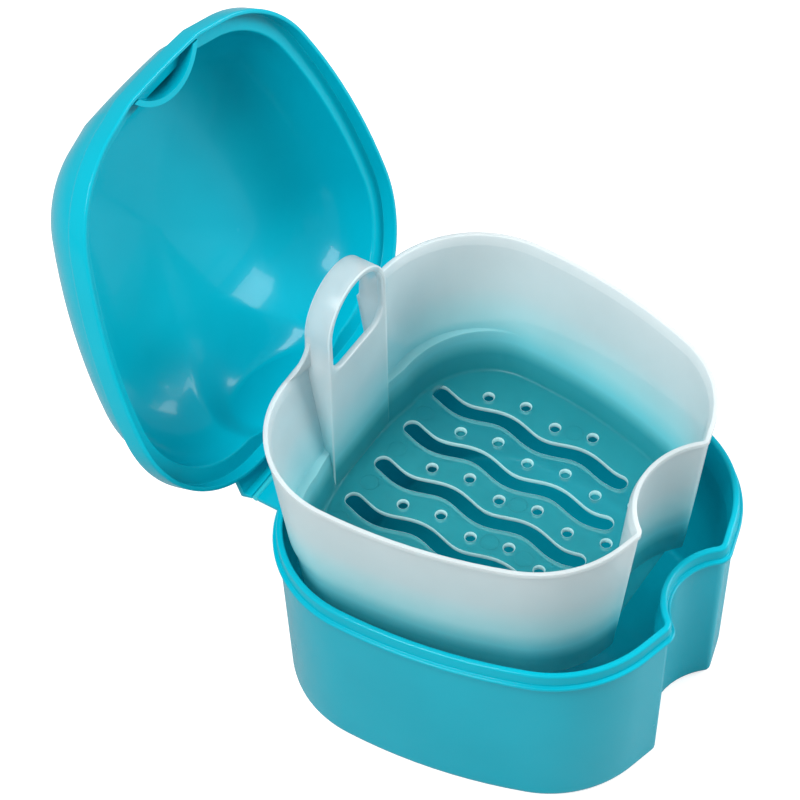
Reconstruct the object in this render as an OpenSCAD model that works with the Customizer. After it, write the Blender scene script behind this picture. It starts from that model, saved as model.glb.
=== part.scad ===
// Denture bath case: tub with thumb notch, domed lid on a moulded hinge, and a strainer basket
// that is raised as it is when the teeth are lifted out. Millimetres, Z up, the tub's flat bottom
// is Z = 0, the front with the thumb notch faces -Y, the hinge is at +Y.

/* [Plan outline] */
// Half of the inner width of the tub's rim at its widest place
half_width = 43.2; // [40:0.1:46]
// Distance from the middle of the plan to the inner edge of the rear rim
rear_reach = 42.8; // [41:0.1:44]
// Radius of the two rear corners
corner_r = 25.7; // [24.8:0.1:28]
// Radius of the two long, slightly bowed sides
side_r = 118; // [100:1:140]
// Angle that each bowed side turns through
side_turn = 20; // [18.5:0.5:21]
// Radius of the two rounded front lobes
lobe_r = 25.7; // [24.8:0.1:27]
// Angle that each front lobe turns through
lobe_turn = 55; // [53:0.5:57]
// How far the rear edge and the lid's front edge bow out in the middle
edge_bow = 0.3; // [0.2:0.05:0.5]
// Radius of the thumb notch
notch_r = 14.9; // [14:0.1:15.4]
// Distance from the middle of the plan to the centre of the thumb notch
notch_reach = 50.3; // [49.7:0.1:50.9]
// Radius of the rounded corners beside the thumb notch, at the lip's inner edge
notch_round = 1.6; // [1:0.1:2.2]

/* [Tub] */
// Height of the tub to the top of its lip
tub_h = 45.5; // [42:0.5:50]
// Thickness of the tub's wall
tub_wall = 1.8; // [1.4:0.1:2.4]
// Thickness of the tub's floor
tub_floor = 1.6; // [1.2:0.1:2.4]
// How far the wall leans in from the top to the bottom
tub_lean = 1.3; // [0.8:0.1:1.6]
// Radius of the rounded lower edge
tub_foot_r = 2; // [1.6:0.1:3.5]
// Thickness of the thin lip
lip_t = 1.4; // [1.1:0.1:1.6]
// Height of the thin lip above the bead
lip_h = 3; // [2.4:0.1:4]
// How far the bead under the lip stands out from the lip
bead_out = 0.9; // [0.7:0.1:1.5]
// Height of the bead under the lip
bead_h = 0.9; // [0.7:0.1:1.4]
// How far the tub's wall stands back from the bead
wall_step = 1.1; // [0.8:0.1:1.4]

/* [Lid] */
// Open angle at rest, counted from the closed lid
open_angle = 110.4; // [90:0.1:125]
// Gap between the closed lid's lower edge and the bead
lid_seat_gap = 0.2; // [0.15:0.05:0.4]
// Gap between the tub's lip and the lid's skirt
skirt_gap = 0.3; // [0.25:0.05:0.45]
// Thickness of the lid's skirt
skirt_t = 1; // [0.9:0.1:1.4]
// Height of the skirt on the outside
skirt_h = 4.6; // [4.3:0.1:5.5]
// Width of the step above the skirt
skirt_step = 2.6; // [2:0.1:3.2]
// Height of the rounded dome above the step
dome_h = 19.9; // [19.5:0.1:23]
// How far the dome curves in
dome_in = 22.2; // [20:0.1:23]
// Further rise of the gently crowned top
crown_rise = 1.8; // [1:0.1:3]
// Wall thickness of the dome
dome_t = 1.5; // [1.2:0.1:1.9]
// Thickness of the curved wall behind the half-moon pocket
moon_t = 1.2; // [1:0.1:1.5]

/* [Hinge] */
// Width of the hinge strap
strap_w = 52; // [44:1:56]
// Distance from the rear rim's inner edge to the hinge line
hinge_back = 6.7; // [6:0.1:7.4]
// Depth of the hinge line below the top of the lip
hinge_drop = 3.8; // [3.7:0.1:4.6]
// Radius of the bending web
web_r = 0.7; // [0.6:0.05:0.8]
// Thickness of the two leaves
leaf_t = 1.2; // [1:0.1:1.4]
// Running gap between the web and the lid's leaf
web_gap = 0.08; // [0.05:0.01:0.1]

/* [Basket] */
// Height of the basket's rim above its underside
basket_h = 39.1; // [35:0.1:40]
// Side gap between the basket's rim and the tub's lip
basket_gap = 0.85; // [0.6:0.05:1.2]
// Gap between the basket's rear wall and the tub's lip while the basket passes it
basket_rear_gap = 0.4; // [0.3:0.05:0.8]
// Wall and floor thickness of the basket
basket_t = 1.2; // [1:0.1:1.4]
// How far the basket's wall leans in from the rim to the floor
basket_lean = 3.8; // [3.4:0.1:4.2]
// Extra room for the thumb between the basket's notch and the tub's notch
thumb_room = 1.15; // [0.9:0.05:1.4]
// Radius of the basket's rounded lower edge
basket_foot_r = 2; // [1.4:0.1:2.6]
// Height of the shelf's underside above the basket's underside
shelf_z = 11.5; // [10:0.1:12]
// Depth of the shelf at the rear
shelf_in = 1.8; // [1.3:0.1:2.4]
// Depth of the raised basket's underside below the tub's lip
raise_low = 11.5; // [10:0.1:13]
// How much further back the raised basket stands than the seated one
raise_back = 4.4; // [3.8:0.1:4.6]
// Gap between the seated basket and the tub's floor
seat_gap = 0.2; // [0.15:0.05:0.4]

/* [Drain pattern] */
// Distance between neighbouring wavy slots
slot_pitch = 11.7; // [11.5:0.1:12]
// Width of a wavy slot
slot_w = 3.8; // [3.4:0.1:4]
// Half of the sideways swing of a slot
slot_swing = 1; // [0.7:0.1:1.2]
// Length of one wave
slot_wave = 19.2; // [18:0.1:20]
// Diameter of a drain hole
hole_d = 2.2; // [1.8:0.1:2.4]
// Distance between drain holes along a row
hole_pitch = 8.4; // [8:0.05:8.6]
// Half of the zigzag of a hole row
hole_zig = 0.89; // [0.6:0.01:1]

/* [Handle] */
// Height of the handle above the basket's rim
handle_h = 18.6; // [17:0.1:20.4]
// Half of the handle's outer width
handle_half = 10.8; // [10.2:0.1:11.6]
// Depth of the handle's strip from front to rear
handle_d = 6; // [5.4:0.1:6.4]
// Wall thickness of the handle's strip and of the panel below it
handle_web = 1.4; // [1.2:0.1:1.6]
// Radius of the flares between the handle and the rim
flare_r = 7; // [5:0.5:8]
// How far the panel leans forward from the floor to the rim
panel_lean = 0.3; // [0.1:0.1:0.6]
// Lower edge of the finger opening, below the rim
finger_low = 1.9; // [1:0.1:4]
// Radius of the finger opening's lower corners
finger_round = 4; // [3:0.1:5]

/* [Hidden] */
$fn = 48;

// Number of points along each part of the half outline
n_corner = 12;
n_side = 4;
n_lobe = 8;
n_notch = 8;
n_round = 5;

corner_x = half_width - corner_r;
corner_y = rear_reach - corner_r;
side_c = [half_width - side_r, corner_y];
side_end_a = 90 + side_turn;
side_end = side_c + side_r * [sin(side_end_a), cos(side_end_a)];
lobe_c = side_end - lobe_r * [sin(side_end_a), cos(side_end_a)];
lobe_end_a = side_end_a + lobe_turn;
front_n = [sin(lobe_end_a), cos(lobe_end_a)];
front_t = [front_n[1], -front_n[0]];
notch_c = [0, -notch_reach];

// Points on an arc, angles counted from +Y towards +X
function arc_pts(c, r, a0, a1, n, first = 0) =
    [for (i = [first:n]) c + r * [sin(a0 + (a1 - a0) * i / n), cos(a0 + (a1 - a0) * i / n)]];

// Where the straight front edge meets the notch, for an outline that lies off outside the lip's inner edge;
// room widens the notch
function notch_start(off, room = 0) =
    let (p = lobe_c + front_n * (lobe_r + off),
         d = p - notch_c,
         b = d * front_t,
         c = d * d - pow(notch_r + room - off, 2))
    p + front_t * (-b - sqrt(max(b * b - c, 0)));

// The corner where the straight front edge meets the notch at the lip, as a fixed half width
notch_half = notch_start(0)[0];

// Where the straight front edge reaches the same half width without a notch
function chord_start(off) =
    let (p = lobe_c + front_n * (lobe_r + off))
    p + front_t * ((p[0] - notch_half) / -front_t[0]);

// The last points of the half outline, either around the notch or straight across it
function front_pts(off, notch, room) =
    notch
    ? let (q = notch_start(min(-notch_round - room, off - 0.5), room),
           a0 = atan2(q[0], q[1] - notch_c[1]))
      concat(arc_pts(q, max(notch_round + room + off, 0.5), lobe_end_a, a0 + 180, n_round),
          arc_pts(notch_c, notch_r + room - off, a0, 0, n_notch, 1))
    : let (q = chord_start(off))
      [for (i = [0:n_notch]) let (f = 1 - i / n_notch) [q[0] * f, q[1] - edge_bow * (1 - f * f)]];

// One half of the plan outline, from the rear middle to the front middle
function half_outline(off, notch, room) =
    concat(
        [for (f = notch ? [0, 0.5] : [0, 0.16, 0.3, 0.42, 0.52, 0.6, 0.66, 0.71, 0.76, 0.81, 0.87, 0.94])
            [corner_x * f, rear_reach + off + edge_bow * (1 - f * f)]],
        arc_pts([corner_x, corner_y], corner_r + off, 0, 90, n_corner),
        arc_pts(side_c, side_r + off, 90, side_end_a, n_side, 1),
        arc_pts(lobe_c, lobe_r + off, side_end_a, lobe_end_a, n_lobe, 1),
        front_pts(off, notch, room));

// The whole outline, both halves
function outline(off, notch, room = 0) =
    let (h = half_outline(off, notch, room), n = len(h))
    concat(h, [for (i = [n - 2:-1:1]) [-h[i][0], h[i][1]]]);

// A ring of outline points at one height
function ring(off, z, notch = true) = [for (p = outline(off, notch)) [p[0], p[1], z]];

// A closed shell through a list of rings: flat first and last ring, quadrilaterals split in two between
module loft(rings) {
    n = len(rings[0]);
    m = len(rings);
    pts = [for (r = rings) each r];
    sides = [for (k = [0:m - 2], i = [0:n - 1])
        let (j = (i + 1) % n, a = k * n)
        each [[a + i, a + j, a + n + j], [a + i, a + n + j, a + n + i]]];
    polyhedron(points = pts,
        faces = concat([[for (i = [n - 1:-1:0]) i]], sides, [[for (i = [0:n - 1]) (m - 1) * n + i]]));
}

/* Tub */
bead_off = lip_t + bead_out;
wall_off = bead_off - wall_step;
bead_z = tub_h - lip_h;
// The wall's outer offset at a height
function wall_out(z) = wall_off - tub_lean * (1 - z / bead_z);

hinge_y = rear_reach + hinge_back;
hinge_z = tub_h - hinge_drop;

module base_tub() {
    inner_foot = max(tub_foot_r - tub_wall, 1);
    color([0.03, 0.66, 0.74]) union() {
        loft(concat(
            [for (a = [0, 22.5, 45, 67.5, 90])
                ring(wall_out(tub_foot_r * (1 - cos(a))) - tub_foot_r * (1 - sin(a)),
                    tub_foot_r * (1 - cos(a)))],
            [ring(wall_out(bead_z - bead_h - 0.3), bead_z - bead_h - 0.3),
             ring(bead_off - 0.1, bead_z - bead_h),
             ring(bead_off, bead_z - bead_h + 0.2),
             ring(bead_off, bead_z - 0.2),
             ring(bead_off - 0.2, bead_z),
             ring(lip_t, bead_z + 0.05),
             ring(lip_t, tub_h - 0.4),
             ring(lip_t - 0.4, tub_h),
             ring(0.4, tub_h),
             ring(0, tub_h - 0.4),
             ring(-0.02, bead_z),
             ring(wall_out(bead_z - 5) - tub_wall, bead_z - 5)],
            [for (a = [90, 67.5, 45, 22.5, 0])
                ring(wall_out(tub_floor + inner_foot * (1 - cos(a))) - tub_wall
                    - inner_foot * (1 - sin(a)),
                    tub_floor + inner_foot * (1 - cos(a)))]));
        // Leaf that carries the web
        translate([-strap_w / 2, 0, 0]) rotate([90, 0, 90]) linear_extrude(height = strap_w)
            difference() {
                translate([rear_reach + wall_off - 1, hinge_z - leaf_t / 2])
                    square([hinge_back - wall_off + 1, leaf_t]);
                translate([hinge_y, hinge_z]) circle(r = web_r);
            }
    }
}

/* Hinge */
module hinge_web() {
    color([0.25, 0.8, 0.86]) translate([-strap_w / 2, hinge_y, hinge_z]) rotate([0, 90, 0])
        cylinder(r = web_r, h = strap_w);
}

/* Lid, drawn closed and then swung open about the hinge line */
lid_z = bead_z + lid_seat_gap;
skirt_in = lip_t + skirt_gap;
skirt_out = skirt_in + skirt_t;
shoulder_z = tub_h + skirt_gap;
dome_z = lid_z + skirt_h;

// Handle pocket of the lid, large enough for the seated basket's handle
seat_z = tub_floor + seat_gap;
handle_rear = rear_reach - basket_gap - 0.5;
arch_rear = handle_rear - 0.6;
pocket_half = handle_half + 2.6;
pocket_top = seat_z + basket_h + handle_h + 2.6;
pocket_y = handle_rear + 1.1;

// Share of the pocket at a place: 1 inside it, 0 outside, with a soft edge; grow widens it by the wall
function pocket(x, z, grow) =
    let (r = pocket_half + grow,
         zc = pocket_top + grow - r,
         d = z < zc ? r - abs(x) : r - norm([x, z - zc]))
    let (w = min(max(d / 3.4 + 0.5, 0), 1)) w * w * (3 - 2 * w);

// A ring of the dome; the pocket pulls its rear out
function dome_ring(off, z, grow) =
    [for (p = outline(off, false))
        let (y = p[1],
             w = p[1] > 0 && abs(p[0]) < corner_x + 6 ? pocket(p[0], z, grow) : 0,
             y_out = max(y, pocket_y + grow))
        [p[0], y + (y_out - y) * w, z]];

function dome_out_off(a) = skirt_out - 0.7 - skirt_step - dome_in * (1 - cos(a));
function dome_out_z(a) = dome_z + dome_h * sin(a);
function dome_out_ring(a) = dome_ring(dome_out_off(a), dome_out_z(a), dome_t);
function dome_in_ring(a) = dome_ring(dome_out_off(a) - dome_t * cos(a), dome_out_z(a) - dome_t * sin(a), 0);

module lid_solid() {
    inner = [for (a = [86, 80, 74, 68, 62, 56, 49, 42, 34, 25, 16, 8]) dome_in_ring(a)];
    outer = [for (a = [2, 10, 19, 28, 37, 46, 54, 61, 67, 73, 80, 88]) dome_out_ring(a)];
    union() {
        loft(concat(
            [[for (p = dome_in_ring(86)) [p[0] * 0.5, p[1] * 0.5, p[2] + crown_rise * 0.7]]],
            inner,
            [dome_ring(skirt_out - 0.7 - skirt_step - dome_t + 0.05, shoulder_z + 0.6, 0),
             dome_ring(skirt_out - 0.2 - skirt_step - dome_t, shoulder_z + 0.1, 0),
             ring(skirt_in - 0.2, shoulder_z, false),
             ring(skirt_in, shoulder_z - 0.2, false),
             ring(skirt_in, lid_z, false),
             ring(skirt_out - 0.3, lid_z, false),
             ring(skirt_out, lid_z + 0.3, false),
             ring(skirt_out, dome_z - 0.8, false),
             ring(skirt_out - 0.7, dome_z - 0.1, false)],
            outer,
            [[for (p = dome_out_ring(88)) [p[0] * 0.5, p[1] * 0.5, p[2] + crown_rise * 0.8]]]));
        // Curved wall that follows the thumb notch
        intersection() {
            translate([0, 0, lid_z]) linear_extrude(height = dome_h) intersection() {
                difference() {
                    translate(notch_c) circle(r = notch_r - skirt_in, $fn = 96);
                    translate(notch_c) circle(r = notch_r - skirt_in - moon_t, $fn = 96);
                }
                translate([-notch_r, chord_start(skirt_in)[1] - skirt_t * 0.6]) square([2 * notch_r, 12]);
            }
            translate([-notch_r, 0, 0]) rotate([90, 0, 90]) linear_extrude(height = 2 * notch_r)
                polygon(concat([[0, lid_z], [chord_start(skirt_out)[1] + 0.3, lid_z],
                    [chord_start(skirt_out)[1] + 0.3, dome_z - 0.7]],
                    [for (a = [0:6:60]) [chord_start(dome_out_off(a))[1] + 0.6, dome_out_z(a) - 0.4]],
                    [[0, dome_out_z(60) - 0.4]]));
        }
        // Leaf that wraps the web with a running gap
        translate([-strap_w / 2, 0, 0]) rotate([90, 0, 90]) linear_extrude(height = strap_w)
            difference() {
                union() {
                    translate([hinge_y - leaf_t / 2 - 0.2, hinge_z + leaf_t / 2 + 0.15])
                        square([leaf_t, lid_z + 3 - hinge_z - leaf_t / 2]);
                    translate([rear_reach + skirt_in + 0.3, lid_z + 1.8])
                        square([hinge_back - skirt_in - 0.3, leaf_t]);
                }
                translate([hinge_y, hinge_z]) circle(r = web_r + web_gap);
            }
    }
}

module lid() {
    color([0.05, 0.7, 0.78]) translate([0, hinge_y, hinge_z]) rotate([-open_angle, 0, 0])
        translate([0, -hinge_y, -hinge_z]) lid_solid();
}

/* Basket */
rim_off = -basket_gap;
raise_h = tub_h - raise_low - seat_z;
// The wall's outer offset at a height above the basket's underside
function basket_out(z) = rim_off - 0.3 - basket_lean * (1 - z / basket_h);

// How far the rear wall stands in at a height, so that it passes the tub's lip with the rear gap
// while the basket comes up and back
function rear_in(z) =
    max((z > basket_h - 1.4 ? rim_off : basket_out(z)) + basket_rear_gap
        + raise_back / raise_h * (tub_h - seat_z - z), 0);

// Further step of the rear wall below the shelf: a quarter in the middle, full at the corners
function shelf_step(x) = shelf_in * (0.25 + 0.75 * min(pow(x / corner_x, 2), 1));

// A ring of the basket, its rear pressed in
function basket_ring(off, z, low) =
    [for (p = outline(off, true, thumb_room))
        let (u = min(max((p[1] - corner_y) / (corner_r + off), 0), 1))
        [p[0], p[1] - u * (low ? rear_in(shelf_z) + shelf_step(p[0]) : rear_in(z)), z]];

// The rear wall's outer face above the shelf, in the middle
function rear_wall(z) = rear_reach + basket_out(z) - rear_in(z);

module wavy_slot(x0, y_front, y_rear) {
    n = 40;
    mid = [for (i = [0:n]) let (y = y_front + (y_rear - y_front) * i / n)
        [x0 + slot_swing * cos(360 * (y - 14) / slot_wave), y]];
    nrm = [for (i = [0:n])
        let (a = mid[max(i - 1, 0)], b = mid[min(i + 1, n)], d = (b - a) / norm(b - a))
        [d[1], -d[0]]];
    tip = [for (a = [15:15:165]) [cos(a), sin(a)]];
    polygon(concat(
        [for (i = [0:n]) mid[i] + nrm[i] * slot_w / 2],
        [for (t = tip) mid[n] + (nrm[n] * t[0] + [-nrm[n][1], nrm[n][0]] * t[1]) * slot_w / 2],
        [for (i = [n:-1:0]) mid[i] - nrm[i] * slot_w / 2],
        [for (t = tip) mid[0] - (nrm[0] * t[0] + [-nrm[0][1], nrm[0][0]] * t[1]) * slot_w / 2]));
}

web_front = arch_rear - handle_d;

module arch_2d(half, low, top) {
    translate([-half, low]) square([2 * half, top - half - low]);
    translate([0, top - half]) circle(r = half, $fn = 64);
}

// The arch of the handle, with a flare on each side that runs out into the rim
module handle_arch() {
    translate([0, arch_rear, 0]) rotate([90, 0, 0]) linear_extrude(height = handle_d)
        arch_2d(handle_half, basket_h - 3.1, basket_h + handle_h);
    for (s = [-1, 1]) translate([0, handle_rear, 0]) rotate([90, 0, 0]) linear_extrude(height = 1.8)
        difference() {
            translate([s > 0 ? handle_half - 0.5 : -handle_half - flare_r, basket_h - 0.7])
                square([flare_r + 0.5, flare_r + 0.7]);
            translate([s * (handle_half + flare_r), basket_h + flare_r]) circle(r = flare_r, $fn = 64);
        }
}

// The box that carries the handle down the rear wall: its front is the panel, its back joins the wall
module handle_panel() {
    translate([-handle_half, 0, 0]) rotate([90, 0, 90]) linear_extrude(height = 2 * handle_half)
        polygon([[web_front + panel_lean, 0.6], [web_front, basket_h - 2.9], [web_front, basket_h + 2],
            [arch_rear - 0.2, basket_h + 2], [arch_rear - 0.2, basket_h - 1.5],
            [rear_wall(basket_h - 2.5) - basket_t * 0.4, basket_h - 2.5],
            [rear_wall(shelf_z + 2) - basket_t * 0.4, shelf_z + 2],
            [rear_wall(shelf_z) - shelf_step(0) - basket_t * 0.5, shelf_z - 1],
            [web_front + panel_lean + 0.7, 0.6]]);
}

// The hollow behind the panel and inside the arch, open to the rear, and the finger opening above the panel
module handle_hollow() {
    half = handle_half - handle_web;
    intersection() {
        translate([-half - 2, 0, 0]) rotate([90, 0, 90]) linear_extrude(height = 2 * half + 4)
            polygon([[web_front + panel_lean + handle_web, shelf_z + 2],
                [web_front + handle_web, basket_h - 2.9], [web_front + handle_web, basket_h + handle_h],
                [handle_rear + 3, basket_h + handle_h], [handle_rear + 3, shelf_z + 2]]);
        translate([0, handle_rear + 4, 0]) rotate([90, 0, 0]) linear_extrude(height = handle_d + 8)
            arch_2d(half, 0, basket_h + handle_h - handle_web);
    }
    translate([0, web_front + handle_web + 1, 0]) rotate([90, 0, 0]) linear_extrude(height = handle_web + 3)
        union() {
            arch_2d(half, basket_h - finger_low + finger_round, basket_h + handle_h - handle_web);
            translate([-half + finger_round, basket_h - finger_low])
                square([2 * (half - finger_round), finger_round + 1]);
            for (s = [-1, 1])
                translate([s * (half - finger_round), basket_h - finger_low + finger_round])
                    circle(r = finger_round, $fn = 48);
        }
}

module strainer_basket() {
    foot_in = max(basket_foot_r - basket_t * 0.5, 0.6);
    color([0.85, 0.88, 0.9, 0.6]) translate([0, raise_back, seat_z + raise_h]) difference() {
        union() {
            loft(concat(
                [for (a = [0, 30, 60, 90])
                    basket_ring(basket_out(basket_foot_r * (1 - cos(a))) - basket_foot_r * (1 - sin(a)),
                        basket_foot_r * (1 - cos(a)), true)],
                [basket_ring(basket_out(shelf_z), shelf_z, true),
                 basket_ring(basket_out(shelf_z + 0.5), shelf_z + 0.5, false),
                 basket_ring(basket_out(basket_h - 1.6), basket_h - 1.6, false),
                 basket_ring(rim_off, basket_h - 1.2, false),
                 basket_ring(rim_off, basket_h - 0.2, false),
                 basket_ring(rim_off - 0.2, basket_h, false),
                 basket_ring(rim_off - 0.9, basket_h, false),
                 basket_ring(basket_out(basket_h - 2.2) - basket_t, basket_h - 2.2, false),
                 basket_ring(basket_out(shelf_z + 0.5 + basket_t) - basket_t,
                     shelf_z + 0.5 + basket_t, false),
                 basket_ring(basket_out(shelf_z + basket_t) - basket_t, shelf_z + basket_t, true)],
                [for (a = [90, 60, 30, 0])
                    basket_ring(basket_out(basket_t + foot_in * (1 - cos(a))) - basket_t
                        - foot_in * (1 - sin(a)),
                        basket_t + foot_in * (1 - cos(a)), true)]));
            handle_arch();
            handle_panel();
        }
        handle_hollow();
        // Wavy slots
        for (k = [-2:2]) translate([0, 0, -1]) linear_extrude(height = basket_t + 2)
            wavy_slot(k * slot_pitch, abs(k) == 2 ? -15.5 : -18.4, 30.2);
        // Drain holes
        for (k = [-3:2], j = [0:(k == -3 || k == 2 ? 3 : 5)])
            translate([(k + 0.5) * slot_pitch + hole_zig * (j % 2 == 0 ? -1 : 1),
                20.6 - hole_pitch * j, -1])
                cylinder(d = hole_d, h = basket_t + 2, $fn = 24);
    }
}

base_tub();
hinge_web();
lid();
strainer_basket();
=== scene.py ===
import math

import bmesh
import bpy
from mathutils import Matrix, Vector


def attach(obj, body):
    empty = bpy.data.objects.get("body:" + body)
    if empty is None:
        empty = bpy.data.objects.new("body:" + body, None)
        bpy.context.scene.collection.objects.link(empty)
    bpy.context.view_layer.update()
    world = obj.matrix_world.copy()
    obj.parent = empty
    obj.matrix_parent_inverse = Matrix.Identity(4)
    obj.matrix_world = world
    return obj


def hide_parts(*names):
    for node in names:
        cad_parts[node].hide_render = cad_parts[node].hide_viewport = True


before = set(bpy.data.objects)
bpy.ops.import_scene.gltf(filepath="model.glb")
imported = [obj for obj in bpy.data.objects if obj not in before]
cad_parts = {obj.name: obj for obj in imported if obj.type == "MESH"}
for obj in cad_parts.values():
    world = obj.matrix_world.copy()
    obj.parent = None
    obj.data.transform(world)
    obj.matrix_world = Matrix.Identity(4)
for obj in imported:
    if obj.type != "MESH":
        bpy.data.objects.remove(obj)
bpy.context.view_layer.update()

scene = bpy.context.scene
scene.view_settings.view_transform = "Standard"

# Outer tub: one glossy polypropylene moulding. A rounded box in plan with a thumb notch at the
# front, slightly leaning walls, a bead under a thin upright lip, and the hinge leaf at the rear.

half_width, rear_reach = 43.2, 42.8
corner_r, side_r, lobe_r = 25.7, 118.0, 25.7
side_turn, lobe_turn = 20.0, 55.0
edge_bow = 0.3
notch_r, notch_round, notch_centre = 14.9, 1.6, Vector((0, -50.3))


def facing(angle):
    """Direction in plan, angle in degrees from the rear towards the right."""
    return Vector((math.sin(math.radians(angle)), math.cos(math.radians(angle))))


corner_c = Vector((half_width - corner_r, rear_reach - corner_r))
side_c = Vector((half_width - side_r, corner_c.y))
side_end = 90 + side_turn
lobe_c = side_c + facing(side_end) * (side_r - lobe_r)
lobe_end = side_end + lobe_turn
front_out = facing(lobe_end)
front_run = Vector((front_out.y, -front_out.x))


def notch_corner(off, room=0.0):
    """Where the straight front edge meets the thumb notch, off outside the lip's inner edge."""
    start = lobe_c + front_out * (lobe_r + off)
    gap = start - notch_centre
    b = gap.dot(front_run)
    reach = notch_r + room - off
    return start + front_run * (-b - math.sqrt(max(b * b - gap.dot(gap) + reach ** 2, 0)))


chord_half = notch_corner(0).x
REAR_COARSE = [i / 8 for i in range(8)]
REAR_FINE = [i / 44 for i in range(44)]


def chord_y(off):
    """Front line of an outline without the notch, at the notch's half width."""
    start = lobe_c + front_out * (lobe_r + off)
    return start.y + front_run.y * (start.x - chord_half) / -front_run.x


def plan(off, notch=True, room=0.0, rear=REAR_COARSE):
    """The case's outline in plan, off outside the lip's inner edge, clockwise from the rear middle."""
    half = [Vector((corner_c.x * f, rear_reach + off + edge_bow * (1 - f * f))) for f in rear]
    half += [corner_c + facing(90 * i / 28) * (corner_r + off) for i in range(29)]
    half += [side_c + facing(90 + side_turn * i / 10) * (side_r + off) for i in range(1, 11)]
    half += [lobe_c + facing(side_end + lobe_turn * i / 22) * (lobe_r + off) for i in range(1, 23)]
    if notch:
        turn = notch_corner(min(-notch_round - room, off - 0.5), room)
        a0 = math.degrees(math.atan2(turn.x - notch_centre.x, turn.y - notch_centre.y))
        r = max(notch_round + room + off, 0.5)
        half += [turn + facing(lobe_end + (a0 + 180 - lobe_end) * i / 10) * r for i in range(11)]
        reach = notch_r + room - off
        half += [notch_centre + facing(a0 * (1 - i / 18)) * reach for i in range(1, 19)]
    else:
        for i in range(22):
            f = 1 - i / 21
            half.append(Vector((chord_half * f, chord_y(off) - edge_bow * (1 - f * f))))
    return half + [Vector((-p.x, p.y)) for p in reversed(half[1:-1])]


def soften(profile, steps=4):
    """Rounds the corners of a wall's profile: each point is (offset, height, radius)."""
    out = []
    for i, (x, z, r) in enumerate(profile):
        p = Vector((x, z))
        if i in (0, len(profile) - 1) or r <= 0:
            out.append(p)
            continue
        a = (Vector(profile[i - 1][:2]) - p)
        b = (Vector(profile[i + 1][:2]) - p)
        half_angle = a.angle(b) / 2
        cut = min(r / math.tan(half_angle), a.length * 0.48, b.length * 0.48)
        pa, pb = p + a.normalized() * cut, p + b.normalized() * cut
        for k in range(steps + 1):
            t = k / steps
            out.append(pa * (1 - t) ** 2 + p * 2 * t * (1 - t) + pb * t ** 2)
    return out


def drawn_shell(rings, close_start=True, close_end=True):
    """A wall through rings of points in millimetres: the first ring is extruded to each next one."""
    bm = bmesh.new()
    verts = [bm.verts.new(Vector(p) * 0.001) for p in rings[0]]
    edges = [bm.edges.new((verts[i - 1], verts[i])) for i in range(len(verts))]
    first = list(edges)
    for ring in rings[1:]:
        number = {v: i for i, v in enumerate(verts)}
        made = bmesh.ops.extrude_edge_only(bm, edges=edges)["geom"]
        fresh = [None] * len(verts)
        for v in (g for g in made if isinstance(g, bmesh.types.BMVert)):
            for e in v.link_edges:
                if e.other_vert(v) in number:
                    fresh[number[e.other_vert(v)]] = v
        for v, p in zip(fresh, ring):
            v.co = Vector(p) * 0.001
        verts = fresh
        edges = [bm.edges.get((verts[i - 1], verts[i])) for i in range(len(verts))]
    if close_start:
        bmesh.ops.contextual_create(bm, geom=first)
    if close_end:
        bmesh.ops.contextual_create(bm, geom=edges)
    return bm, first, edges


def finished(bm, name, materials, body, node=None, angle=38):
    """Puts a finished mesh into the scene, smooth except at real edges, riding on its body."""
    bmesh.ops.recalc_face_normals(bm, faces=bm.faces)
    data = bpy.data.meshes.new(name)
    bm.to_mesh(data)
    bm.free()
    data.shade_smooth()
    data.set_sharp_from_angle(angle=math.radians(angle))
    for material in materials:
        data.materials.append(material)
    piece = bpy.data.objects.new(name, data)
    scene.collection.objects.link(piece)
    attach(piece, body)
    if node:
        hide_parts(node)
    return piece


# Marks that the mould leaves on every piece: flow clouds, haze and a barely wavy skin
marks = bpy.data.node_groups.new("moulding_marks", "ShaderNodeTree")
for label, kind in (("Flow", "Float"), ("Haze", "Float"), ("Normal", "Vector")):
    marks.interface.new_socket(label, in_out="OUTPUT", socket_type="NodeSocket" + kind)
marks_out = marks.nodes.new("NodeGroupOutput")
marks_at = marks.nodes.new("ShaderNodeTexCoord")
wave_bump = marks.nodes.new("ShaderNodeBump")
wave_bump.inputs["Strength"].default_value = 0.06
wave_bump.inputs["Distance"].default_value = 0.0006
for label, size, detail in (("Flow", 28, 3), ("Haze", 160, 4), ("Normal", 70, 2)):
    noise = marks.nodes.new("ShaderNodeTexNoise")
    noise.inputs["Scale"].default_value = size
    noise.inputs["Detail"].default_value = detail
    marks.links.new(marks_at.outputs["Object"], noise.inputs["Vector"])
    if label == "Normal":
        marks.links.new(noise.outputs["Fac"], wave_bump.inputs["Height"])
        marks.links.new(wave_bump.outputs["Normal"], marks_out.inputs["Normal"])
    else:
        marks.links.new(noise.outputs["Fac"], marks_out.inputs[label])


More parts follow.
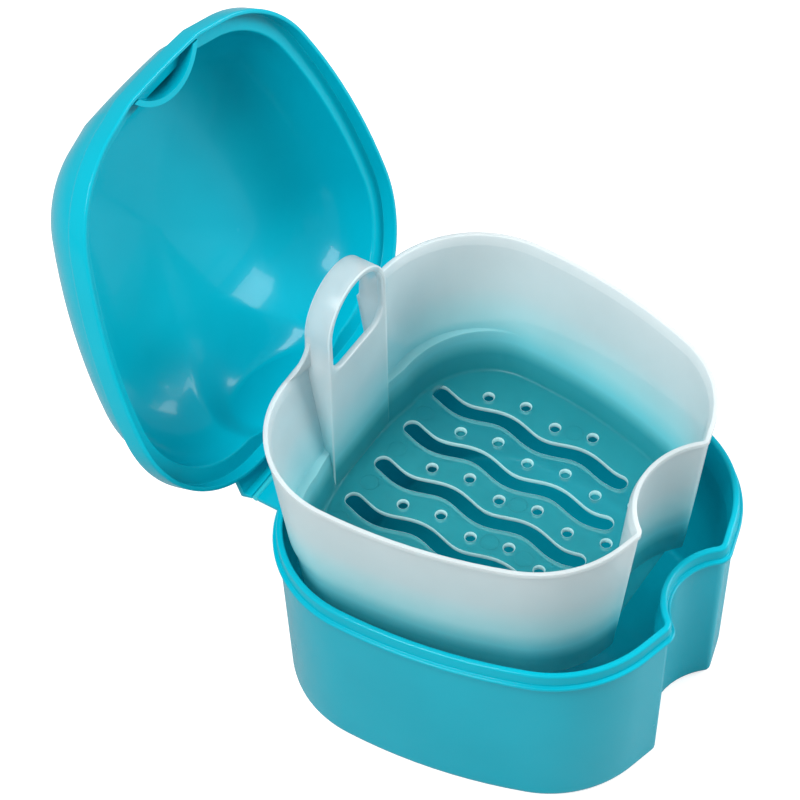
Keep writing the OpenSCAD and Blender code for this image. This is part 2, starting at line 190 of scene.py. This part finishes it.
def moulded_plastic(name, dark, light, smooth, dull):
    """A moulded plastic whose colour and gloss vary with the marks of the mould."""
    m = bpy.data.materials.new(name)
    m.use_nodes = True
    tree = m.node_tree
    skin = tree.nodes["Principled BSDF"]
    mould = tree.nodes.new("ShaderNodeGroup")
    mould.node_tree = marks
    tint = tree.nodes.new("ShaderNodeValToRGB")
    tint.color_ramp.elements[0].position = 0.3
    tint.color_ramp.elements[1].position = 0.75
    tint.color_ramp.elements[0].color = (*dark, 1)
    tint.color_ramp.elements[1].color = (*light, 1)
    tree.links.new(mould.outputs["Flow"], tint.inputs["Fac"])
    tree.links.new(tint.outputs["Color"], skin.inputs["Base Color"])
    gloss = tree.nodes.new("ShaderNodeMapRange")
    gloss.inputs["To Min"].default_value = smooth
    gloss.inputs["To Max"].default_value = dull
    tree.links.new(mould.outputs["Haze"], gloss.inputs["Value"])
    tree.links.new(gloss.outputs["Result"], skin.inputs["Roughness"])
    tree.links.new(mould.outputs["Normal"], skin.inputs["Normal"])
    skin.inputs["IOR"].default_value = 1.49
    return m


teal = moulded_plastic("teal_polypropylene", (0.0, 0.37, 0.485), (0.0, 0.42, 0.545), 0.2, 0.3)
teal_skin = teal.node_tree.nodes["Principled BSDF"]
teal_skin.inputs["Specular IOR Level"].default_value = 0.1
teal_skin.inputs["Coat Weight"].default_value = 0.12

# The wall's profile: underside, outer wall, bead, lip, inner wall, floor; the floors are flat inside -8
tub_h, tub_floor, lip_t, bead_off, floor_off = 45.5, 1.6, 1.4, 2.3, -8
tub_profile = soften([
    (floor_off, 0, 0), (-0.1, 0, 2.0), (1.16, 41.2, 0.4),
    (bead_off, 41.55, 0.45), (bead_off, 42.45, 0.45), (lip_t + 0.1, 42.55, 0.25),
    (lip_t, tub_h, 0.6), (0, tub_h, 0.55), (-0.02, 42.5, 1.0),
    (-0.75, 37.5, 2.0), (-1.85, tub_floor, 1.6), (floor_off, tub_floor, 0)], 5)
tub_mesh, _, _ = drawn_shell([[(p.x, p.y, at.y) for p in plan(at.x)] for at in tub_profile])
tub = finished(tub_mesh, "outer_tub", [teal], "tub", "base_tub")

# Living hinge: a thin flexible web between two leaves, moulded in one with tub and lid. The bent
# web's paler teal is a painted highlight along its rounded face.

strap_half = 26.0
hinge_y, hinge_z = 49.5, 41.7


def hinge_leaf(points):
    """A flat leaf of the hinge: its rounded section drawn along the strap's width."""
    bm = bmesh.new()
    section = [bm.verts.new(Vector((-strap_half, y, z)) * 0.001) for y, z in points]
    face = bm.faces.new(section)
    made = bmesh.ops.extrude_face_region(bm, geom=[face])["geom"]
    bmesh.ops.translate(bm, vec=Vector((strap_half * 2, 0, 0)) * 0.001,
                        verts=[g for g in made if isinstance(g, bmesh.types.BMVert)])
    bmesh.ops.bevel(bm, geom=bm.edges[:], offset=0.00022, segments=2, profile=0.5, affect="EDGES",
                    material=-1, clamp_overlap=True)
    return bm


leaf_down = hinge_leaf([(43.2, 41.1), (48.8, 41.1), (49.05, 41.4),
                        (49.05, 42.0), (48.8, 42.3), (43.2, 42.3)])
tub_leaf = finished(leaf_down, "tub_hinge_leaf", [teal], "tub")
# Paler teal than the tub: a painted highlight on the hinge web.
web_highlight_paint = moulded_plastic("painted_highlight_web_teal", (0.01, 0.46, 0.54), (0.03, 0.54, 0.62), 0.25, 0.35)
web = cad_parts["hinge_web"].data
web.materials.clear()
web.materials.append(web_highlight_paint)
for face in web.polygons:
    face.use_smooth = True

# Lid: one glossy polypropylene moulding on the hinge: a skirt that slips over the tub's lip, a flat
# shoulder, a deep rounded dome with a pocket for the handle, and a curved wall that closes the notch.

open_angle = 110.4
lid_edge, skirt_in, skirt_out = 42.7, 1.7, 2.7
shoulder, dome_z, dome_h, dome_in, dome_t = 45.8, 47.3, 19.9, 22.2, 1.5
skirt_step, skirt_round, crown_rise = 2.6, 0.7, 1.7
dome_foot = skirt_out - skirt_round - skirt_step
pocket_half, pocket_top, pocket_y = 13.4, 62.1, 42.55
pocket_outside, pocket_fade = 5, 6.5


def pocket_share(x, z, grow):
    """How far a point of the dome is drawn out into the handle pocket, 0 to 1."""
    r = pocket_half + grow
    zc = pocket_top + grow - r
    d = r - abs(x) if z < zc else r - math.hypot(x, z - zc)
    w = min(max((d + pocket_outside) / pocket_fade, 0), 1)
    return w * w * (3 - 2 * w)


def dome_ring(off, z, grow):
    """A ring of the dome at a height, with the pocket drawn out at the rear."""
    ring = []
    for p in plan(off, False, rear=REAR_FINE):
        w = pocket_share(p.x, z, grow) if p.y > 0 and abs(p.x) < corner_c.x + 6 else 0
        ring.append((p.x, p.y + (max(p.y, pocket_y + grow) - p.y) * w, z))
    return ring


def dome_at(angle, inner):
    """A ring of the dome's inner or outer face, by its angle from foot to crown."""
    a = math.radians(angle)
    off = dome_foot - dome_in * (1 - math.cos(a))
    z = dome_z + dome_h * math.sin(a)
    if inner:
        return dome_ring(off - dome_t * math.cos(a), z - dome_t * math.sin(a), 0)
    return dome_ring(off, z, dome_t)


def crown(ring, rise):
    """Rings that close the gently crowned top towards its middle."""
    rings = []
    for k in (0.86, 0.7, 0.52, 0.34, 0.16):
        rings.append([(x * k, y * k, z + rise * (1 - k * k)) for x, y, z in ring])
    return rings


inner_dome = [dome_at(3 + 83 * i / 34, True) for i in range(35)]
outer_dome = [dome_at(2 + 86 * i / 34, False) for i in range(35)]
wall_off = dome_foot - dome_t
lid_rings = [r for r in reversed(crown(inner_dome[-1], crown_rise * 0.93))]
lid_rings += list(reversed(inner_dome))
lid_rings += [dome_ring(at.x, at.y, 0) for at in soften([
    (wall_off, dome_z - 0.2, 0), (wall_off, shoulder, 0.6), (wall_off + 2.2, shoulder, 0)])[1:]]
lid_rings += [[(p.x, p.y, at.y) for p in plan(at.x, False, rear=REAR_FINE)] for at in soften([
    (skirt_in - 0.9, shoulder, 0), (skirt_in, shoulder, 0.2), (skirt_in, lid_edge, 0.35),
    (skirt_out, lid_edge, 0.45), (skirt_out, dome_z - 0.1, 0.8), (skirt_out - 1.2, dome_z, 0)])]
lid_rings += [dome_ring(at.x, at.y, dome_t) for at in soften([
    (skirt_out - 1.6, dome_z, 0), (dome_foot, dome_z, skirt_round), (dome_foot, dome_z + 0.6, 0)])[1:-1]]
lid_rings += outer_dome
lid_rings += crown(outer_dome[-1], crown_rise)
lid_mesh, _, _ = drawn_shell(lid_rings)
swing = Matrix.Rotation(math.radians(-open_angle), 3, "X")
hinge_point = Vector((0, hinge_y, hinge_z)) * 0.001
bmesh.ops.rotate(lid_mesh, cent=hinge_point, matrix=swing, verts=lid_mesh.verts)
lid = finished(lid_mesh, "domed_lid", [teal], "lid", "lid")


def under_dome(y):
    """Height of the middle of the dome's wall above a point near the lid's front line."""
    off = (chord_y(0) - edge_bow - y) / 1.034
    c = 1 - (dome_foot - dome_t / 2 - off) / dome_in
    return max(dome_z + (dome_h - dome_t / 2) * math.sin(math.acos(min(max(c, -1), 1))), shoulder + 0.7)


# Curved wall behind the half-moon pocket at the lid's front edge
moon_mesh = bmesh.new()
moon, moon_t = [], 1.2
for r in (notch_r - skirt_in, notch_r - skirt_in - moon_t):
    reach = math.degrees(math.acos((chord_y(skirt_in - 0.2) - notch_centre.y) / r))
    arc = [notch_centre + facing(reach * (i / 20 - 1)) * r for i in range(41)]
    moon.append(arc if not moon else arc[::-1])
base = [moon_mesh.verts.new(Vector((p.x, p.y, lid_edge + 0.1)) * 0.001) for p in moon[0] + moon[1]]
face = moon_mesh.faces.new(base)
made = bmesh.ops.extrude_face_region(moon_mesh, geom=[face])["geom"]
for v in (g for g in made if isinstance(g, bmesh.types.BMVert)):
    v.co.z = under_dome(v.co.y * 1000) * 0.001
bmesh.ops.rotate(moon_mesh, cent=hinge_point, matrix=swing, verts=moon_mesh.verts)
moon_wall = finished(moon_mesh, "half_moon_wall", [teal], "lid")

leaf_up = hinge_leaf([(44.9, 44.5), (48.8, 44.5), (48.8, 42.65), (49.0, 42.5), (49.6, 42.5),
                      (49.8, 42.65), (49.8, 45.5), (49.6, 45.7), (44.9, 45.7)])
bmesh.ops.rotate(leaf_up, cent=hinge_point, matrix=swing, verts=leaf_up.verts)
lid_leaf = finished(leaf_up, "lid_hinge_leaf", [teal], "lid")

# Strainer basket: one thin, milky translucent polypropylene moulding that hangs in the tub. Its
# floor has wavy slots and drain holes, its rear wall a shelf and the arched lifting handle.

lift, back, raised = 34.0, 4.4, 32.2
basket_h, basket_t, thumb_room = 39.1, 1.2, 1.15
shelf_in, shelf_z, shelf_top = 1.8, 11.5, 12.7
rim_off, rear_gap, slide_slope = -0.85, 0.4, back / raised


def basket_out(z):
    """Outer offset of the basket's wall at a height above its underside."""
    return rim_off - 0.3 - 3.8 * (1 - z / basket_h)


def rear_in(z):
    """How far the rear wall stands in, so that it passes the tub's lip on its slanted way up."""
    wall = rim_off if z > basket_h - 1.4 else basket_out(z)
    return max(wall + rear_gap + slide_slope * (tub_h - lift + raised - z), 0)


def basket_ring(off, z, shelf_at):
    """A ring of the basket's wall; below the shelf the rear is pressed in, most at the corners."""
    s = min(max((z - shelf_at) / 0.5, 0), 1)
    s = s * s * (3 - 2 * s)
    ring = []
    for p in plan(off, True, thumb_room):
        u = min(max((p.y - corner_c.y) / (corner_r + off), 0), 1)
        low = rear_in(shelf_z) + shelf_in * (0.25 + 0.75 * min((p.x / corner_c.x) ** 2, 1))
        ring.append((p.x, p.y + back - u * (rear_in(max(z, shelf_z)) * s + low * (1 - s)), z + lift))
    return ring


def along(profile, low, high, n):
    """Adds points to a profile between two heights, so that the shelf's step is drawn smoothly."""
    out = []
    for a, b in zip(profile, profile[1:]):
        out.append(a)
        if min(a.y, b.y) < high and max(a.y, b.y) > low and abs(a.y - b.y) > 0.3:
            out += [a.lerp(b, k / n) for k in range(1, n)]
    return out + [profile[-1]]


basket_outer = soften([
    (-7.3, 0, 0), (-4.95, 0, 2.0),
    (basket_out(shelf_z), shelf_z, 0.05), (basket_out(shelf_z + 0.5), shelf_z + 0.5, 0.05),
    (basket_out(37.5), 37.5, 0.2), (rim_off, 38, 0.2), (rim_off, basket_h, 0.3)])
basket_inner = soften([
    (rim_off, basket_h, 0), (rim_off - 0.9, basket_h, 0.25), (basket_out(36.9) - basket_t, 36.9, 0.6),
    (basket_out(shelf_top + 0.5) - basket_t, shelf_top + 0.5, 0.05),
    (basket_out(shelf_top) - basket_t, shelf_top, 0.05),
    (basket_out(basket_t) - basket_t, basket_t, 1.4), (-7.6, basket_t, 0)])[1:]
outer_rings = [basket_ring(at.x, at.y, shelf_z)
               for at in along(basket_outer, shelf_z, shelf_z + 0.5, 5)]
inner_rings = [basket_ring(at.x, at.y, shelf_top)
               for at in along(basket_inner, shelf_top, shelf_top + 0.5, 5)]
basket_mesh, foot_edges, floor_edges = drawn_shell(outer_rings + inner_rings, False, False)
# The top of the rim gets the material with the painted edge highlight.
for face in basket_mesh.faces:
    if face.calc_center_median().z * 1000 > lift + basket_h - 0.12:
        face.material_index = 1

# The rear wall is open behind the handle's panel: cut out, then its cut edges closed
panel_gap, gap_low, rear_part = 10.1, lift + 13.5, 34
right, up = Vector((1, 0, 0)), Vector((0, 0, 1))
for co, no in ((right * panel_gap, right), (-right * panel_gap, right), (up * gap_low, up)):
    near = [f for f in basket_mesh.faces if f.calc_center_median().y * 1000 > rear_part]
    near += [e for f in near for e in f.edges] + [v for f in near for v in f.verts]
    bmesh.ops.bisect_plane(basket_mesh, geom=list(set(near)), plane_co=co * 0.001, plane_no=no, dist=1e-7)
middles = [(f, f.calc_center_median() * 1000) for f in basket_mesh.faces]
gone = [f for f, c in middles if c.y > rear_part and abs(c.x) < panel_gap and c.z > gap_low]
bmesh.ops.delete(basket_mesh, geom=gone, context="FACES")
above_floor = (lift + 3) * 0.001
cut_rim = [e for e in basket_mesh.edges if e.is_boundary and min(v.co.z for v in e.verts) > above_floor]
for side in (-1, 1):
    chain = [e for e in cut_rim if all(abs(v.co.x * 1000 - side * panel_gap) < 0.01 for v in e.verts)]
    low = sorted({v for e in chain for v in e.verts}, key=lambda v: v.co.z)[:2]
    if abs(low[0].co.z - low[1].co.z) < 1e-5:
        cut_rim.append(basket_mesh.edges.get(low) or basket_mesh.edges.new(low))
        bmesh.ops.contextual_create(basket_mesh, geom=chain + [cut_rim[-1]])
flat = [e for e in cut_rim if all(abs(v.co.z * 1000 - gap_low) < 0.01 for v in e.verts)]
bmesh.ops.contextual_create(basket_mesh, geom=flat)


slot_pitch, slot_w, slot_wave, slot_rear = 11.7, 3.8, 19.2, 30.2
hole_r, hole_pitch, hole_zig, hole_rear = 1.1, 8.4, 0.89, 20.6


def wavy_path(x0, y_front, y_rear, width, steps=64):
    """The outline of one wavy slot, round its whole edge."""
    mid = []
    for i in range(steps + 1):
        y = y_front + (y_rear - y_front) * i / steps
        mid.append(Vector((x0 + math.cos(2 * math.pi * (y - 14) / slot_wave), y)))
    left, right = [], []
    for i, p in enumerate(mid):
        d = (mid[min(i + 1, steps)] - mid[max(i - 1, 0)]).normalized()
        side = Vector((d.y, -d.x)) * width / 2
        left.append(p - side)
        right.append(p + side)
    caps = []
    for tip, before in ((mid[-1], mid[-2]), (mid[0], mid[1])):
        d = (tip - before).normalized()
        a = math.atan2(d.x, d.y)
        caps.append([tip + Vector((math.sin(a + t), math.cos(a + t))) * width / 2
                     for t in [math.pi / 2 - math.pi * k / 12 for k in range(1, 12)]])
    return right + caps[0] + left[::-1] + caps[1]


def cut_through(outline_at, levels, painted_highlight_index=1):
    """Walls of an opening in the basket's floor with rounded edges, by default in the material with the
    painted edge highlight.
    """
    rings = [[(p.x, p.y + back, z + lift) for p in outline_at(grow)] for grow, z in levels]
    part, top, bottom = drawn_shell(rings, False, False)
    for face in part.faces:
        face.material_index = painted_highlight_index
    data = bpy.data.meshes.new("opening")
    part.to_mesh(data)
    part.free()
    basket_mesh.from_mesh(data)
    bpy.data.meshes.remove(data)


slot_levels = [(0.1, 1.2), (0.04, 1.18), (0, 1.1), (0, 0.15), (0.04, 0.04), (0.1, 0)]
hole_levels = [(0.25, 1.2), (0.2, 1.19), (0.04, 1.0), (0, 0.9), (0, 0.15), (0.04, 0.04), (0.1, 0)]
for k in range(-2, 3):
    front_end = -15.5 if abs(k) == 2 else -18.4
    cut_through(lambda grow: wavy_path(k * slot_pitch, front_end, slot_rear, slot_w + 2 * grow),
                slot_levels)
for k in range(-3, 3):
    for j in range(4 if k in (-3, 2) else 6):
        zig = -hole_zig if j % 2 == 0 else hole_zig
        hole = Vector(((k + 0.5) * slot_pitch + zig, hole_rear - hole_pitch * j))
        cut_through(lambda grow: [hole + facing(15 * i) * (hole_r + grow) for i in range(24)],
                    hole_levels)

rims = [e for e in basket_mesh.edges if e.is_boundary]
for height in (lift, lift + 1.2):
    flat = [e for e in rims if all(abs(v.co.z * 1000 - height) < 0.01 for v in e.verts)]
    bmesh.ops.triangle_fill(basket_mesh, use_beauty=True, use_dissolve=False, edges=flat, normal=up)

# Faint rings that the ejector pins leave on the floor
for x, y in ((17, 30.2), (5.4, 29.9), (-5.4, 29.9), (-17, 30.2), (5.85, -0.4), (-5.85, -0.4),
             (-5.85, -8.8), (29.25, -0.4), (-29.25, -0.4)):
    pin = Vector((x, y))
    cut_through(lambda r: [pin + facing(12 * i) * r for i in range(30)],
                [(2.1, 1.15), (2.06, 1.23), (1.94, 1.23), (1.9, 1.15)], 0)

# How far a point stands out of the tub: the milky plastic's tone is painted with the teal light that shines
# through it from the tub close behind
standing = bpy.data.node_groups.new("height_out_of_the_tub", "ShaderNodeTree")
standing.interface.new_socket("Height", in_out="OUTPUT", socket_type="NodeSocketFloat")
standing_out = standing.nodes.new("NodeGroupOutput")
where = standing.nodes.new("ShaderNodeTexCoord")
split = standing.nodes.new("ShaderNodeSeparateXYZ")
standing.links.new(where.outputs["Object"], split.inputs["Vector"])
depth = standing.nodes.new("ShaderNodeMapRange")
depth.inputs["From Min"].default_value = 0.034
depth.inputs["From Max"].default_value = 0.094
standing.links.new(split.outputs["Z"], depth.inputs["Value"])
standing.links.new(depth.outputs["Result"], standing_out.inputs["Height"])


def milky(name, tint_and_painted_light, shares, smooth, dull):
    """Milky plastic: its tone and how much it hides both change with the height out of the tub; the tone is
    painted light, teal from the tub behind and brightened where walls lie in shade.
    """
    m = moulded_plastic(name, (0.86, 0.86, 0.86), (1, 1, 1), smooth, dull)
    tree = m.node_tree
    skin = tree.nodes["Principled BSDF"]
    height = tree.nodes.new("ShaderNodeGroup")
    height.node_tree = standing
    ramps = []
    for stops in (tint_and_painted_light, [(at, (v, v, v)) for at, v in shares]):
        ramp = tree.nodes.new("ShaderNodeValToRGB")
        for at, colour in stops[1:-1]:
            ramp.color_ramp.elements.new(at).color = (*colour, 1)
        for end, (at, colour) in ((0, stops[0]), (-1, stops[-1])):
            ramp.color_ramp.elements[end].position = at
            ramp.color_ramp.elements[end].color = (*colour, 1)
        tree.links.new(height.outputs["Height"], ramp.inputs["Fac"])
        ramps.append(ramp)
    clouds = skin.inputs["Base Color"].links[0].from_socket
    blend = tree.nodes.new("ShaderNodeMix")
    blend.data_type = "RGBA"
    blend.blend_type = "MULTIPLY"
    blend.inputs["Factor"].default_value = 1
    tree.links.new(ramps[0].outputs["Color"], blend.inputs["A"])
    tree.links.new(clouds, blend.inputs["B"])
    tree.links.new(blend.outputs["Result"], skin.inputs["Base Color"])
    tree.links.new(ramps[1].outputs["Color"], skin.inputs["Alpha"])
    skin.inputs["Specular IOR Level"].default_value = 0.35
    skin.inputs["Subsurface Weight"].default_value = 0.7
    skin.inputs["Subsurface Radius"].default_value = (1, 1, 1)
    skin.inputs["Subsurface Scale"].default_value = 0.004
    return m


# Painted light in the tones: teal low on the walls from the tub shining through, and the bright band at
# 0.17 to 0.26 lifting walls that lie in shade.
frosted = milky("milky_polypropylene",
                [(0, (0.03, 0.42, 0.47)), (0.1, (0.06, 0.50, 0.56)), (0.17, (0.22, 0.72, 0.80)),
                 (0.26, (0.42, 0.76, 0.81)), (0.42, (0.57, 0.71, 0.74)), (0.7, (0.63, 0.70, 0.72))],
                [(0, 0.45), (0.1, 0.5), (0.17, 0.78), (0.26, 0.82), (0.42, 0.8), (0.66, 0.8), (0.78, 0.55)],
                0.25, 0.36)
# Thin edges in near-white and bright teal: a painted highlight where light catches them.
edge_painted_highlight = milky("milky_edge_painted_highlight",
                 [(0, (0.62, 1.0, 1.0)), (0.3, (0.62, 0.88, 0.92)), (0.6, (0.72, 0.82, 0.85))],
                 [(0, 0.8), (0.5, 0.75), (1, 0.7)], 0.2, 0.3)
milks = [frosted, edge_painted_highlight]

basket = finished(basket_mesh, "basket_shell", milks, "basket", "strainer_basket")

# Lifting handle: moulded in one with the basket. A strip bent into an arch, its legs joined by a
# panel that runs down to the floor, hollow behind, with a flare on each side out into the rim.

handle_half, handle_h, web_t, handle_d = 10.8, 18.6, 1.4, 6.0
web_front, arch_rear = 39.25, 45.25
finger_low, finger_round = 1.9, 4.0


def arch(half, top):
    """Right half of an arch's top, from its springing to its crown."""
    return [Vector((0, top - half)) + facing(90 - 90 * i / 24) * half for i in range(25)]


def mirrored(side, start):
    """A whole outline from its right half; the points before start lie on the middle line."""
    return side + [Vector((-p.x, p.y)) for p in reversed(side[start:-1])]


def strip_outline(inset, low):
    """Edge of the strip and panel, inset from the real edge, above a lower line."""
    half = handle_half - inset
    return mirrored([Vector((half, low))] + arch(half, basket_h + handle_h - inset), 0)


def finger_outline(grow):
    """Edge of the finger opening: its lower edge is a wide U between the legs."""
    inset = web_t + 0.05 - grow
    half, low = handle_half - inset, basket_h - finger_low - grow
    centre = Vector((half - finger_round, low + finger_round))
    side = [Vector((0, low)), Vector((half - finger_round - 1, low))]
    side += [centre + facing(180 - 9 * i) * finger_round for i in range(11)]
    return mirrored(side + arch(half, basket_h + handle_h - inset), 1)


def between(table, z):
    """Straight lines between the heights and values of a table."""
    for (z0, y0), (z1, y1) in zip(table, table[1:]):
        if z <= z1:
            return y0 + (y1 - y0) * min(max((z - z0) / (z1 - z0), 0), 1)
    return table[-1][1]


def wrap(co):
    """Bends the flat plate: its front leans with the panel, its back follows the rear wall and rim."""
    z = co.z * 1000
    front = between([(0.6, web_front + 0.3), (36.2, web_front)], z)
    rear = between([(0.6, 40.3), (10.5, 41.35), (13.5, 42.2), (36.6, 45.5), (38.6, 45.8), (40.5, 45.5),
                    (46, arch_rear)], z)
    t = co.y * 1000
    if t > web_t:
        t = web_t + (rear - front - web_t) * (t - web_t) / (handle_d - web_t)
    return Vector((co.x, (front + t) * 0.001, (z + lift) * 0.001))


handle_mesh = bmesh.new()


def loop_of(outline, y):
    """A closed loop of edges along an outline, at a depth of the flat plate."""
    verts = [handle_mesh.verts.new((p.x * 0.001, y * 0.001, p.y * 0.001)) for p in outline]
    return [handle_mesh.edges.new((verts[i - 1], verts[i])) for i in range(len(verts))]


def tube_of(outline, sign, y0, y1):
    """Side wall between two depths of the plate; its rounded edges get the painted edge highlight."""
    soft = 0.3
    stops = [(soft, y0), (soft * 0.3, y0 + soft * 0.3), (0, y0 + soft), (0, y1 - soft),
             (soft * 0.3, y1 - soft * 0.3), (soft, y1)]
    loops = [loop_of(outline(sign * inset), y) for inset, y in stops]
    for step, (a, b) in enumerate(zip(loops, loops[1:])):
        for face in bmesh.ops.bridge_loops(handle_mesh, edges=a + b)["faces"]:
            face.material_index = 0 if step == 2 else 1
    return loops[0], loops[-1]


front_outer, back_outer = tube_of(lambda inset: strip_outline(inset, 1.0 + inset), 1, 0, handle_d)
front_hole, web_hole = tube_of(finger_outline, 1, 0, web_t)
hollow = strip_outline(web_t - 0.4, 13.5)
web_inner, back_inner = loop_of(hollow, web_t), loop_of(hollow, handle_d)
bmesh.ops.bridge_loops(handle_mesh, edges=web_inner + back_inner)
for loops, way in ((front_outer + front_hole, -1), (back_outer + back_inner, 1),
                   (web_inner + web_hole, 1)):
    bmesh.ops.triangle_fill(handle_mesh, use_beauty=True, use_dissolve=False, edges=loops,
                            normal=(0, way, 0))
for z in [2 + 2.4 * i for i in range(14)] + [36.2, 36.8, 38.6, 40.5, 46]:
    whole = handle_mesh.faces[:] + handle_mesh.edges[:] + handle_mesh.verts[:]
    bmesh.ops.bisect_plane(handle_mesh, geom=whole, plane_co=up * z * 0.001, plane_no=up, dist=1e-6)
for v in handle_mesh.verts:
    v.co = wrap(v.co)
handle = finished(handle_mesh, "lifting_handle", milks, "basket", angle=50)

# Flares: a curved web on each side that carries the arch's edge out into the rim
flare_r, sunk = 7.5, 0.5
for side, label in ((-1, "left"), (1, "right")):
    flare_mesh = bmesh.new()
    centre = Vector((handle_half + flare_r - 0.08, basket_h + flare_r - 0.06))
    curve = [centre - facing(5 * i) * flare_r for i in range(19)]
    edge = [Vector((curve[0].x, basket_h - sunk)), Vector((handle_half - sunk, basket_h - sunk)),
            Vector((handle_half - sunk, curve[-1].y))] + curve[::-1]
    points = [flare_mesh.verts.new((side * p.x * 0.001, 0, (p.y + lift) * 0.001)) for p in edge]
    face = flare_mesh.faces.new(points)
    made = bmesh.ops.extrude_face_region(flare_mesh, geom=[face])["geom"]
    front_verts = {v for v in made if isinstance(v, bmesh.types.BMVert)}
    for v in flare_mesh.verts:
        out = min(max((abs(v.co.x) * 1000 - handle_half) / flare_r, 0), 1)
        v.co.y = (43.9 + 1.65 * out if v in front_verts else 44.9 + 1.38 * out) * 0.001
    # Faces along the flare's curved edge above the rim get the painted edge highlight.
    for face in flare_mesh.faces:
        above_rim = face.calc_center_median().z * 1000 > lift + basket_h - 0.2
        face.material_index = 1 if len(face.verts) == 4 and above_rim else 0
    finished(flare_mesh, "handle_flare_" + label, milks, "basket", angle=50)

# Studio: a pale floor, a plain white surrounding, soft lamps and the camera.

floor_mesh = bmesh.new()
bmesh.ops.create_grid(floor_mesh, x_segments=1, y_segments=1, size=1.6)
floor_data = bpy.data.meshes.new("studio_floor")
floor_mesh.to_mesh(floor_data)
floor_mesh.free()
floor = bpy.data.objects.new("studio_floor", floor_data)
scene.collection.objects.link(floor)
floor_white = bpy.data.materials.new("studio_white")
floor_white.use_nodes = True
tree = floor_white.node_tree
skin = tree.nodes["Principled BSDF"]
skin.inputs["Base Color"].default_value = (0.5, 0.5, 0.5, 1)
skin.inputs["Roughness"].default_value = 0.8
skin.inputs["Specular IOR Level"].default_value = 0.1
skin.inputs["Emission Color"].default_value = (0.72, 0.72, 0.72, 1)
seen = tree.nodes.new("ShaderNodeLightPath")
tree.links.new(seen.outputs["Is Camera Ray"], skin.inputs["Emission Strength"])
floor_data.materials.append(floor_white)

world = bpy.data.worlds.new("studio")
scene.world = world
world.use_nodes = True
world.node_tree.nodes["Background"].inputs["Color"].default_value = (1, 1, 1, 1)
world.node_tree.nodes["Background"].inputs["Strength"].default_value = 0.5

key = bpy.data.lights.new("key", "AREA")
key.energy = 6.5
key.size = 0.35
key_lamp = bpy.data.objects.new("key", key)
key_lamp.location = (-0.46, 0.1, 0.74)
key_aim = Vector((0, 0, 0.06)) - key_lamp.location
key_lamp.rotation_euler = key_aim.to_track_quat("-Z", "Y").to_euler()
scene.collection.objects.link(key_lamp)

fill = bpy.data.lights.new("fill", "AREA")
fill.energy = 5
fill.size = 0.4
fill_lamp = bpy.data.objects.new("fill", fill)
fill_lamp.location = (0.5, -0.45, 0.4)
fill_aim = Vector((0, 0.04, 0.07)) - fill_lamp.location
fill_lamp.rotation_euler = fill_aim.to_track_quat("-Z", "Y").to_euler()
scene.collection.objects.link(fill_lamp)

camera = bpy.data.cameras.new("camera")
camera.sensor_width = 36
camera.lens = 139.53
camera.clip_start = 0.05
camera_rig = bpy.data.objects.new("camera", camera)
camera_rig.location = (-0.34741, -0.20160, 0.55280)
camera_rig.rotation_euler = (math.radians(40.238), math.radians(1.066), math.radians(-57.628))
scene.collection.objects.link(camera_rig)
scene.camera = camera_rig
